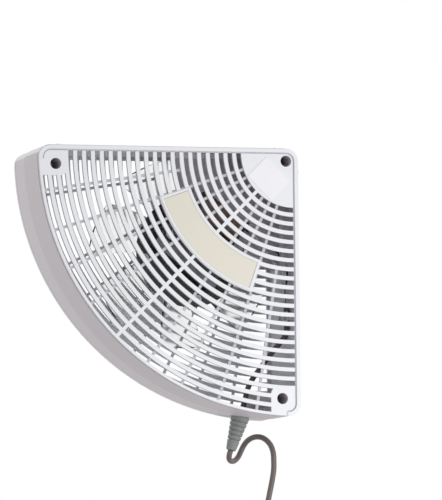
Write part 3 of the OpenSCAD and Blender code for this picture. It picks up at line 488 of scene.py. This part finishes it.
def painted_light_inside(skin, whiter):
    """The skin, and a lighter tint between two depths under the outside of the walls, which is their inside:
    painted light on the shaded inside of the casing. The depth is -max(x - right, z - top, distance from the
    arc's centre - its radius)."""
    shallow, deep = 1.2 / 1000, 7.0 / 1000
    centre = np.array([RIGHT - ARC_INSET, 0, -ARC_INSET]) / 1000

    def links(tree, places):
        made = skin(tree, places)
        flat = add_node(tree, "ShaderNodeMapping", {"Scale": (1, 0, 1)}, {"Vector": (places, "Object")})
        place = add_node(tree, "ShaderNodeSeparateXYZ", links={"Vector": (flat, "Vector")})
        reach = add_node(tree, "ShaderNodeVectorMath", {"operation": "DISTANCE", 1: centre},
                         {0: (flat, "Vector")})
        arc = maths(tree, "SUBTRACT", (reach, "Value"), (BODY_SIZE - ARC_INSET) / 1000)
        side = maths(tree, "SUBTRACT", (place, "X"), RIGHT / 1000)
        top = maths(tree, "SUBTRACT", (place, "Z"), TOP / 1000)
        out = maths(tree, "MAXIMUM", maths(tree, "MAXIMUM", side, top), arc)
        # Painted light: the lighter tint inside the walls.
        inside = maths(tree, "COMPARE", out, -(shallow + deep) / 2, (deep - shallow) / 2)
        tone = add_node(tree, "ShaderNodeMix", {"data_type": "RGBA", SECOND: whiter},
                        {FACTOR: inside, FIRST: made["Base Color"]})
        return {"Base Color": (tone, RESULT), "Roughness": made["Roughness"]}
    return links


def grey_abs(name, tint, casing):
    """ABS from a spark-eroded tool, matt grey outside: a fine grain of 0.6 mm, drawn at 0.9 mm to show,
    and painted white inside as painted light on the shaded inside of the casing."""
    skin = mottle(tint, 0.05, 50, 0.5, 0.06)
    return new_finish(name, {"IOR": 1.53}, painted_light_inside(skin, casing.inside), grain(0.9, 0.03, casing.edge))


def badge_film(casing):
    """Polyester film under a clear laminate: cream, smooth, with a glossier top."""
    return new_finish("polyester_badge_film", {"IOR": 1.6, "Coat Weight": 0.4, "Coat Roughness": 0.15},
                      mottle(casing.badge, 0.05, 25, 0.45, 0.05), grain(2.5, 0.01, 0.3))


def plate_foil(casing):
    """Aluminium-coloured vinyl foil: pale cool grey with a silky gloss."""
    return new_finish("vinyl_plate_foil", {"IOR": 1.54, "Coat Weight": 0.2, "Coat Roughness": 0.3},
                      mottle(casing.plate, 0.06, 12, 0.38, 0.06), grain(1.5, 0.01, 0.3))


def zinc_plated_steel():
    """Zinc-plated steel: bluish silver with slight spangle and drawing lines."""
    return new_finish("zinc_plated_steel", {"Metallic": 1.0},
                      mottle(linear("#C9CACB"), 0.18, 3, 0.34, 0.08), grain(0.6, 0.01, 0.15))


def enamelled_steel(motor):
    """Stoved black enamel on steel sheet: near black with a faint orange peel, 2 mm wide."""
    return new_finish("black_enamelled_steel", {"IOR": 1.5, "Coat Weight": 0.3, "Coat Roughness": 0.25},
                      mottle(motor.plate, 0.2, 15, 0.42, 0.06), grain(2, 0.02, 0.3))


def lamination_steel():
    """Silicon steel sheet: grey stamped edges, 0.5 mm apart, drawn 1 mm apart to show."""
    return new_finish("silicon_steel_laminations", {"Metallic": 1.0},
                      mottle(linear("#8E8F94"), 0.3, 4, 0.42, 0.08), layers(1, 0.08, "Y"))


def rotor_steel():
    """Cast aluminium end rings on turned sheet steel: fine turning lines along the shaft."""
    return new_finish("turned_rotor_steel", {"Metallic": 1.0},
                      mottle(linear("#A5A6AA"), 0.2, 3, 0.33, 0.06), layers(0.8, 0.03, "Y"))


def ground_steel():
    """Ground shaft steel: bright, with grinding lines 0.3 mm apart, drawn at 0.6 mm."""
    return new_finish("ground_shaft_steel", {"Metallic": 1.0},
                      mottle(linear("#D9DADC"), 0.08, 6, 0.18, 0.04), layers(0.6, 0.004, "Y"))


def bare_copper():
    """Bare drawn copper: warm, slightly dulled by handling."""
    return new_finish("bare_copper", {"Metallic": 1.0}, mottle(linear("#C9825A"), 0.3, 5, 0.36, 0.08),
                      grain(0.8, 0.01, 0.2))


def oiled_bronze():
    """Sintered bronze, oiled: brownish gold with open pores of 0.2 mm, drawn at 0.5 mm."""
    return new_finish("oiled_sintered_bronze", {"Metallic": 1.0},
                      mottle(linear("#A9824C"), 0.35, 2, 0.4, 0.08), grain(0.5, 0.02))


def stamped_brass():
    """Stamped, tinned brass: pale gold, polished by use along its length."""
    return new_finish("tinned_brass", {"Metallic": 1.0}, mottle(linear("#D9C28A"), 0.15, 6, 0.27, 0.06),
                      grain(0.5, 0.01, 0.2, (1, 1, 0.1)))


def black_nylon():
    """Glass-filled black nylon: dark, slightly speckled and dry."""
    return new_finish("glass_filled_nylon", {"IOR": 1.53}, mottle(linear("#2B2B2D"), 0.35, 3, 0.5, 0.08),
                      grain(0.7, 0.03, 0.2))


def natural_nylon():
    """Natural nylon: milky, faintly warm, with a waxy gloss."""
    return new_finish("natural_nylon", {"IOR": 1.53, "Subsurface Weight": 0.1},
                      mottle(linear("#E3E2DA"), 0.06, 5, 0.38, 0.05), grain(1.2, 0.01, 0.2))


def impeller_plastic(impeller):
    """Natural polypropylene: unpigmented and nearly clear, so that what lies behind shows. The flow marks
    are 8 mm wide."""
    return new_finish("natural_polypropylene", {"IOR": 1.49, "Transmission Weight": 1.0},
                      mottle(impeller.tint, 0.04, 30, 0.12, 0.05), grain(8, 0.03))


def black_rubber():
    """Nitrile rubber: near black, matt, with a fine bloom."""
    return new_finish("nitrile_rubber", {"IOR": 1.52}, mottle(linear("#232325"), 0.3, 4, 0.62, 0.08),
                      grain(0.6, 0.03, 0.2))


def hook_and_loop(cord):
    """Woven nylon hook-and-loop band: black with a fuzzy weave 0.8 mm apart."""
    return new_finish("hook_and_loop_band", {"IOR": 1.53, "Sheen Weight": 0.4, "Sheen Roughness": 0.5},
                      mottle(cord.tie, 0.5, 2, 0.8, 0.08), layers(0.8, 0.25, "Z"))


def relief_pvc(cord):
    """Soft PVC, moulded: mid grey and slightly dusty."""
    return new_finish("soft_pvc", {"IOR": 1.53}, mottle(cord.relief, 0.12, 8, 0.52, 0.07),
                      grain(0.8, 0.03, 0.3))


def cord_pvc(cord):
    """Extruded PVC jacket: brownish grey with a soft gloss and a faint drag texture, 1.2 mm."""
    return new_finish("extruded_pvc", {"IOR": 1.53}, mottle(cord.jacket, 0.12, 12, 0.42, 0.07),
                      grain(1.2, 0.03))


def lead_pvc(name, tint):
    """Thin extruded PVC insulation: smooth with a soft gloss."""
    return new_finish(name, {"IOR": 1.53}, mottle(tint, 0.08, 6, 0.38, 0.06), grain(1, 0.01))


def winding_tape(motor):
    """Brown polyester tape over enamelled wire: glossy film in which the turns show as lines, 0.7 mm apart,
    drawn at 1.2 mm."""
    return new_finish("polyester_winding_tape", {"IOR": 1.6, "Coat Weight": 0.5, "Coat Roughness": 0.2},
                      mottle(motor.tape, 0.35, 7, 0.4, 0.08), layers(1.2, 0.08, "DIAGONAL"))


def dress(finish, *nodes):
    """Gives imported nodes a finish."""
    for node in nodes:
        slots = frame["nodes"][node].data.materials
        slots.clear()
        slots.append(finish)


# Pieces

class FAN_OT_plug(bpy.types.Operator):
    """Plug with a tapered neck, grip grooves and two brass blades"""
    bl_idname = "fan.plug"
    bl_label = "Plug"

    def execute(self, context):
        """Superellipses at the distances s down from the cord. Their half widths grow by s / neck, and in
        the shoulder by 3 t^2 - 2 t^3. The grip's ribs are (1 - cos(pi s)) / 2 times half a sine wave."""
        cord = context.scene.fan_cord
        top = plug_top(cord)
        neck, shoulder, body, rim = 14.0, 8.0, 30.0, 1.5
        throat, flare, wider_x, wider_y = 3.0, 2.5, 2.5, 5.5
        grip_from, grip_len, grip_deep = neck + shoulder + 2, 14.0, 0.5
        squareness = 1.4
        rim_start = neck + body - rim
        s = np.concatenate([np.linspace(0, neck, 15), np.linspace(neck, neck + shoulder, 13)[1:],
                            np.linspace(neck + shoulder, rim_start, 41)[1:],
                            rim_start + rim * np.sin(np.linspace(0, np.pi / 2, 7)[1:])])
        in_neck = np.clip(s / neck, 0, 1)
        in_shoulder = np.clip((s - neck) / shoulder, 0, 1)
        in_shoulder = in_shoulder ** 2 * (3 - 2 * in_shoulder)
        drop = edge_drop(s - rim_start, rim)
        grip = np.sin(np.pi * np.clip((s - grip_from) / grip_len, 0, 1))
        ribs = (1 - np.cos(np.pi * (s - neck))) / 2
        half_x = throat + flare * in_neck + wider_x * in_shoulder - drop
        half_y = throat + flare * in_neck + wider_y * in_shoulder - drop - grip_deep * grip * ribs
        x, y = superellipse(half_x, half_y, 2 + squareness * in_shoulder, 48)
        grid = np.stack([top[0] + x, top[1] + y, top[2] - s[:, None] + 0 * x], axis=-1)
        add_piece("mains_plug", [shell(grid)], cord_pvc(cord), "casing", ["plug_body"])
        dress(stamped_brass(), "plug_blades")
        return {"FINISHED"}


class FAN_OT_cord_tie(bpy.types.Operator):
    """Hook-and-loop band round all the turns of the coil"""
    bl_idname = "fan.cord_tie"
    bl_label = "Cord tie"

    def execute(self, context):
        """A rounded section (u, v) moved round a rounded rectangle: the rectangle + u times its outward
        direction, at the height v from the middle."""
        low, high = box_mm("cord_tie")
        middle, half = (low + high) / 2, (high - low) / 2
        half_thick, bend, rim = 0.5, 3.6, 0.45
        line = middle[:2] + rounded_loop(rectangle(half[0] - half_thick, half[1] - half_thick), bend, 10)
        along = np.roll(line, -1, axis=0) - np.roll(line, 1, axis=0)
        along /= np.linalg.norm(along, axis=1, keepdims=True)
        out = np.stack([along[:, 1], -along[:, 0]], axis=1)
        section = rounded_loop(rectangle(half_thick, half[2]), rim, 4)
        flat = line[:, None] + section[None, :, :1] * out[:, None]
        height = np.broadcast_to(middle[2] + section[:, 1], flat.shape[:2])
        grid = np.concatenate([flat, height[..., None]], axis=-1)
        add_piece("coil_tie", [shell(grid, True)], hook_and_loop(context.scene.fan_cord),
                  "casing", ["cord_tie"])
        return {"FINISHED"}


class FAN_OT_mains_cord(bpy.types.Operator):
    """Mains cord from the strain relief, wound into a round coil"""
    bl_idname = "fan.mains_cord"
    bl_label = "Mains cord"

    def execute(self, context):
        cord = context.scene.fan_cord
        path = np.concatenate([smooth_line(CORD_ROUTE, 1.5), coil_line(cord)])
        piece = add_piece("mains_cord", [shell(tube(path, cord.diameter / 2, 16))], cord_pvc(cord),
                          "casing", ["cord", "cord_coil"])
        path = path / 1000
        return {"FINISHED"}


class FAN_OT_inner_wiring(bpy.types.Operator):
    """Jacketed run inside the casing, two leads, their connectors and the clamp"""
    bl_idname = "fan.inner_wiring"
    bl_label = "Inner wiring"

    def execute(self, context):
        cord = context.scene.fan_cord
        lead_radius = 0.9
        route = np.array([
            RELIEF_TIP, EXIT, EXIT - 14 * EXIT_DOWN, (RIGHT - 29, EXIT[1] - 4.5, EXIT_Z + 29.8),
            (RIGHT - 20, SEAM_Y + 1, EXIT_Z + 45.8), (RIGHT - 12, SEAM_Y - 12, EXIT_Z + 59.8),
            (CLAMP_X, SEAM_Y - 21, CLAMP_Z - 17), (CLAMP_X, CLAMP_Y, CLAMP_Z - 7),
            (CLAMP_X, CLAMP_Y, JACKET_END)])
        add_piece("inner_jacket", [shell(tube(smooth_line(route, 2), cord.diameter / 2, 14))],
                  cord_pvc(cord), "casing", ["inner_cord"])
        for side, name, tint in ((-1, "pale_leads", cord.leads), (1, "dark_leads", cord.dark_leads)):
            runs = [shell(tube(smooth_line(run, 1.5), lead_radius, 10))
                    for run in self.lead_runs(context.scene.fan_motor, side)]
            add_piece(name, runs, lead_pvc(name + "_pvc", tint), "casing", ["lead_wires"])
        dress(natural_nylon(), "wire_connectors", "cord_clamp", "thrust_washers", "impeller_clip")
        return {"FINISHED"}

    def lead_runs(self, motor, side):
        """The route of one lead to its connector, and on from there to the coil's flange."""
        at_jacket, at_coil = 1.3, 4.0
        flange_t, under_tape = 1.9, 2.0
        start = np.array([CLAMP_X, CLAMP_Y + at_jacket * side, JACKET_END])
        middle = CONNECTOR + side * CONNECTOR_SPREAD
        a, b = middle - CONNECTOR_HALF * CONNECTOR_ALONG, middle + CONNECTOR_HALF * CONNECTOR_ALONG
        depth = STACK_MIDDLE + at_coil * side

        def flange(out):
            x, z = motor_place(motor, motor.coil_length / 2 + flange_t + out,
                               motor.coil_reach + motor.coil_height / 2 - under_tape)
            return np.array([x, depth, z])

        return [np.array([start, start + [0, 0, 4], start + [-0.5, 0, 12], a - 5 * CONNECTOR_ALONG, a]),
                np.array([b, b + 5 * CONNECTOR_ALONG, flange(12) + [1, 0, -4], flange(4), flange(0.1)])]


def motor_place(motor, u, v):
    """A place in the motor's own plane, u along the coil and v from the shaft to the coil, in X and Z."""
    s, c = np.sin(motor.turn), np.cos(motor.turn)
    return np.stack([SHAFT[0] + u * s + v * c, SHAFT[2] - u * c + v * s], axis=-1)


class FAN_OT_winding(bpy.types.Operator):
    """Winding on its bobbin, wrapped in overlapping tape"""
    bl_idname = "fan.winding"
    bl_label = "Winding"

    def execute(self, context):
        """Rounded rectangles at the places u along the coil. Each lap of the tape rises by
        lap (u / width mod 1), both ends are rounded, and the last two loops line the bore."""
        motor = context.scene.fan_motor
        gap, lap, tape_under, rim, corner = 0.05, 0.35, 0.4, 1.2, 4.2
        bore_half, bore_gap, bore_corner, wire_deep = 7.25, 1.05, 0.4, 2.75
        half_stack = (STACK_BACK - STACK_FRONT) / 2
        size = np.array([motor.coil_height / 2, half_stack + wire_deep])
        half_len = motor.coil_length / 2 - gap
        u = np.linspace(-half_len, half_len, 89)
        wrap = (u / motor.tape_width) % 1
        swell = lap * wrap * np.clip(half_len - np.abs(u), 0, 1) - tape_under
        grow = swell - edge_drop(np.abs(u) - half_len + rim, rim)
        outer = rounded_loop(rectangle(*size), corner, 8)
        bore = rounded_loop(rectangle(bore_half, half_stack + bore_gap), bore_corner, 8)
        loops = np.concatenate([outer * (1 + grow[:, None, None] / size), [bore, bore]])
        u = np.concatenate([u, [half_len, -half_len]])
        place = motor_place(motor, u[:, None] + 0 * loops[..., 0], motor.coil_reach + loops[..., 0])
        grid = np.stack([place[..., 0], STACK_MIDDLE + loops[..., 1], place[..., 1]], axis=-1)
        add_piece("taped_winding", [shell(grid, True)], winding_tape(motor), "casing",
                  ["coil_winding"])
        return {"FINISHED"}


class FAN_OT_impeller(bpy.types.Operator):
    """Impeller with a cup-shaped hub and twisted, cambered blades"""
    bl_idname = "fan.impeller"
    bl_label = "Impeller"

    def execute(self, context):
        impeller = context.scene.fan_impeller
        shells = [self.hub(impeller)]
        shells += [self.blade(impeller, k * 2 * np.pi / impeller.blades) for k in range(impeller.blades)]
        add_piece("fan_impeller", shells, impeller_plastic(impeller), "rotor",
                  ["impeller"])
        return {"FINISHED"}

    def hub(self, impeller):
        """A cup with a rounded rim and a boss round the shaft, turned from one closed profile."""
        front, back, r = HUB_FRONT, HUB_BACK, impeller.hub_radius
        wall, bore, boss, boss_back = 2.0, 2.05, 6.0, 1.0
        inner_r = r - wall
        corners = [(r, front), (r, back), (bore, back), (bore, front + boss_back), (boss, front + boss_back),
                   (boss, back - wall), (inner_r, back - wall), (inner_r, front)]
        rim, outer, edge, inner = 0.6, 3.0, 0.3, 1.5
        profile = rounded_loop(corners, np.array([rim, outer, edge, edge, rim, inner, inner, rim]), 8)
        return shell(lathe(profile, SHAFT, 96), True)

    def blade(self, impeller, turn):
        """Sections from root to tip. On a section's loop t the place along the chord is c = -cos(t) / 2.
        There the camber line rises by camber chord (1 - 4 c^2), and the half thickness is
        d / 2 (1 - 3 c^2) sqrt|sin t|. The chord turns by the pitch angle and wraps round the shaft."""
        root_r = impeller.hub_radius - 1
        root_chord, tip_chord = 0.35 * impeller.radius, 0.66 * impeller.radius
        root_pitch, tip_pitch, sweep, camber = 46, 26, 12, 0.08
        f = np.linspace(0, 1, 25)[:, None]
        t = np.linspace(0, 2 * np.pi, 44, endpoint=False)[None, :]
        r = root_r + f * (impeller.radius - root_r)
        chord = root_chord + f * (tip_chord - root_chord)
        pitch = np.radians(root_pitch + f * (tip_pitch - root_pitch))
        c = -np.cos(t) / 2
        half = impeller.thickness / 2 * (1 - 3 * c ** 2) * np.sign(np.sin(t)) * np.sqrt(np.abs(np.sin(t)))
        bow = camber * chord * (1 - 4 * c ** 2) + half
        along = c * chord * np.cos(pitch) - bow * np.sin(pitch)
        deep = c * chord * np.sin(pitch) + bow * np.cos(pitch)
        a = turn + np.radians(sweep) * f + along / r
        middle = (HUB_FRONT + HUB_BACK) / 2
        return shell(np.stack([SHAFT[0] + r * np.cos(a), middle + deep, SHAFT[2] + r * np.sin(a)], axis=-1))


class FAN_OT_casing(bpy.types.Operator):
    """Finishes of the grilles, the shells, the strain relief and the two blank labels"""
    bl_idname = "fan.casing"
    bl_label = "Casing"

    def execute(self, context):
        casing = context.scene.fan_casing
        dress(white_abs("white_abs", casing.slots, casing), "front_grille")
        dress(white_abs("rear_white_abs", casing.rear_slot_shade, casing), "rear_grille")
        dress(grey_abs("grey_abs", casing.shell, casing), "front_shell")
        dress(grey_abs("light_grey_abs", casing.rear_shell, casing), "rear_shell")
        dress(badge_film(casing), "badge_strip")
        dress(plate_foil(casing), "rating_plate")
        dress(relief_pvc(context.scene.fan_cord), "strain_relief")
        return {"FINISHED"}


class FAN_OT_motor(bpy.types.Operator):
    """Finishes of the motor, its plate and its bearings"""
    bl_idname = "fan.motor"
    bl_label = "Motor"

    def execute(self, context):
        dress(enamelled_steel(context.scene.fan_motor), "motor_plate")
        dress(lamination_steel(), "laminations")
        dress(bare_copper(), "shading_rings")
        dress(black_nylon(), "coil_bobbin")
        dress(oiled_bronze(), "front_bearing", "rear_bearing")
        dress(rotor_steel(), "rotor_core")
        dress(ground_steel(), "shaft")
        return {"FINISHED"}


class FAN_OT_fixings(bpy.types.Operator):
    """Finishes of the screws, nuts, brackets and washers"""
    bl_idname = "fan.fixings"
    bl_label = "Fixings"

    def execute(self, context):
        dress(zinc_plated_steel(), "front_screws", "rear_screws", "plate_screws", "motor_screws",
              "motor_nuts", "clamp_screws", "front_bracket", "rear_bracket")
        dress(black_rubber(), "rubber_washers")
        return {"FINISHED"}


# Stage

def white_surroundings(strength):
    """Even light of that strength for surfaces; the camera, gloss and clear pieces see plain white."""
    world = bpy.data.worlds.new("white_studio")
    world.use_nodes = True
    tree = world.node_tree
    tree.nodes.clear()
    rays = add_node(tree, "ShaderNodeLightPath")
    seen = maths(tree, "MAXIMUM", (rays, "Is Camera Ray"), (rays, "Is Transmission Ray"))
    shown = maths(tree, "MAXIMUM", seen, (rays, "Is Glossy Ray"))
    light = add_node(tree, "ShaderNodeBackground", {"Color": linear("#FFFFFF"), "Strength": strength})
    white = add_node(tree, "ShaderNodeBackground", {"Color": linear("#FFFFFF"), "Strength": 1.0})
    mix = add_node(tree, "ShaderNodeMixShader",
                   links={0: shown, 1: (light, "Background"), 2: (white, "Background")})
    add_node(tree, "ShaderNodeOutputWorld", links={"Surface": (mix, "Shader")})
    return world


def soft_lamp(name, place, aim, size, power):
    """A square lamp that looks from its place to its aim."""
    data = bpy.data.lights.new(name, "AREA")
    data.shape = "SQUARE"
    data.size = size
    data.energy = power
    lamp = bpy.data.objects.new(name, data)
    towards = np.array(aim) - np.array(place)
    back = -towards / np.linalg.norm(towards)
    right = np.cross([0, 0, 1], back)
    right /= np.linalg.norm(right)
    up = np.cross(back, right)
    turn = np.eye(4)
    turn[:3, :4] = np.stack([right, up, back, np.array(place)], axis=1)
    lamp.matrix_world = Matrix(turn.tolist())
    lamp.visible_camera = False
    bpy.context.scene.collection.objects.link(lamp)


class FAN_OT_stage(bpy.types.Operator):
    """Camera of the photograph, a soft lamp, white surroundings and a pale floor"""
    bl_idname = "fan.stage"
    bl_label = "Studio"

    def execute(self, context):
        stage = context.scene.fan_stage
        self.camera(context, stage)
        middle = (np.array(CAD_BOX[0]) + np.array(CAD_BOX[1])) / 2
        soft_lamp("soft_lamp", stage.lamp_place, middle, stage.lamp_size, stage.lamp_power)
        context.scene.world = white_surroundings(stage.ambient)
        context.scene.view_settings.view_transform = "Standard"
        self.floor(context, stage, middle)
        return {"FINISHED"}

    def camera(self, context, stage):
        """Turned by its yaw about Z, then its pitch about X and its roll about Y, looking along +Y."""
        data = bpy.data.cameras.new("photo_camera")
        data.sensor_width = 36
        data.lens = stage.lens
        data.clip_end = 100
        camera = bpy.data.objects.new("photo_camera", data)
        turn = (Matrix.Rotation(stage.yaw, 4, "Z") @ Matrix.Rotation(stage.pitch, 4, "X")
                @ Matrix.Rotation(stage.roll, 4, "Y") @ Matrix.Rotation(np.pi / 2, 4, "X"))
        camera.matrix_world = Matrix.Translation(stage.camera_place) @ turn
        context.scene.collection.objects.link(camera)
        context.scene.camera = camera

    def floor(self, context, stage, middle):
        """A disc of painted plaster under the fan, its radius in metres."""
        radius = 5.0
        a = np.linspace(0, 2 * np.pi, 96, endpoint=False)
        points = np.stack([middle[0] + radius * np.cos(a), middle[1] + radius * np.sin(a),
                           stage.floor_drop + 0 * a], axis=1)
        mesh = bpy.data.meshes.new("studio_floor")
        mesh.from_pydata(points, [], [list(range(len(a)))])
        mesh.materials.append(new_finish("painted_plaster", {"IOR": 1.45},
                                         mottle(linear("#F7F7F7"), 0.02, 900, 0.8, 0.05), grain(3, 0.05)))
        floor = bpy.data.objects.new("studio_floor", mesh)
        context.scene.collection.objects.link(floor)


STEPS = (FAN_OT_stage, FAN_OT_plug, FAN_OT_cord_tie, FAN_OT_mains_cord, FAN_OT_inner_wiring, FAN_OT_casing,
         FAN_OT_motor, FAN_OT_winding, FAN_OT_impeller, FAN_OT_fixings)
GROUPS = {"fan_cord": CordSettings, "fan_motor": MotorSettings, "fan_impeller": ImpellerSettings,
          "fan_casing": CasingSettings, "fan_stage": StageSettings}


class FAN_PT_sidebar(bpy.types.Panel):
    """Lists the fan's pieces and the studio"""
    bl_label = "Door frame fan"
    bl_idname = "FAN_PT_sidebar"
    bl_space_type = "VIEW_3D"
    bl_region_type = "UI"
    bl_category = "Fan"

    def draw(self, context):
        for step in STEPS:
            self.layout.operator(step.bl_idname)
        for name in GROUPS:
            box = self.layout.box()
            group = getattr(context.scene, name)
            for field in group.bl_rna.properties:
                if field.identifier not in ("rna_type", "name"):
                    box.prop(group, field.identifier)


CLASSES = (*GROUPS.values(), *STEPS, FAN_PT_sidebar)


def register():
    for cls in CLASSES:
        bpy.utils.register_class(cls)
    for name, group in GROUPS.items():
        setattr(bpy.types.Scene, name, PointerProperty(type=group))


def unregister():
    for name in GROUPS:
        delattr(bpy.types.Scene, name)
    for cls in reversed(CLASSES):
        bpy.utils.unregister_class(cls)


def main():
    register()
    bpy.ops.fan.stage()
    bpy.ops.fan.plug()
    bpy.ops.fan.cord_tie()
    bpy.ops.fan.mains_cord()
    bpy.ops.fan.inner_wiring()
    bpy.ops.fan.casing()
    bpy.ops.fan.motor()
    bpy.ops.fan.winding()
    bpy.ops.fan.impeller()
    bpy.ops.fan.fixings()


if __name__ == "__main__":
    main()
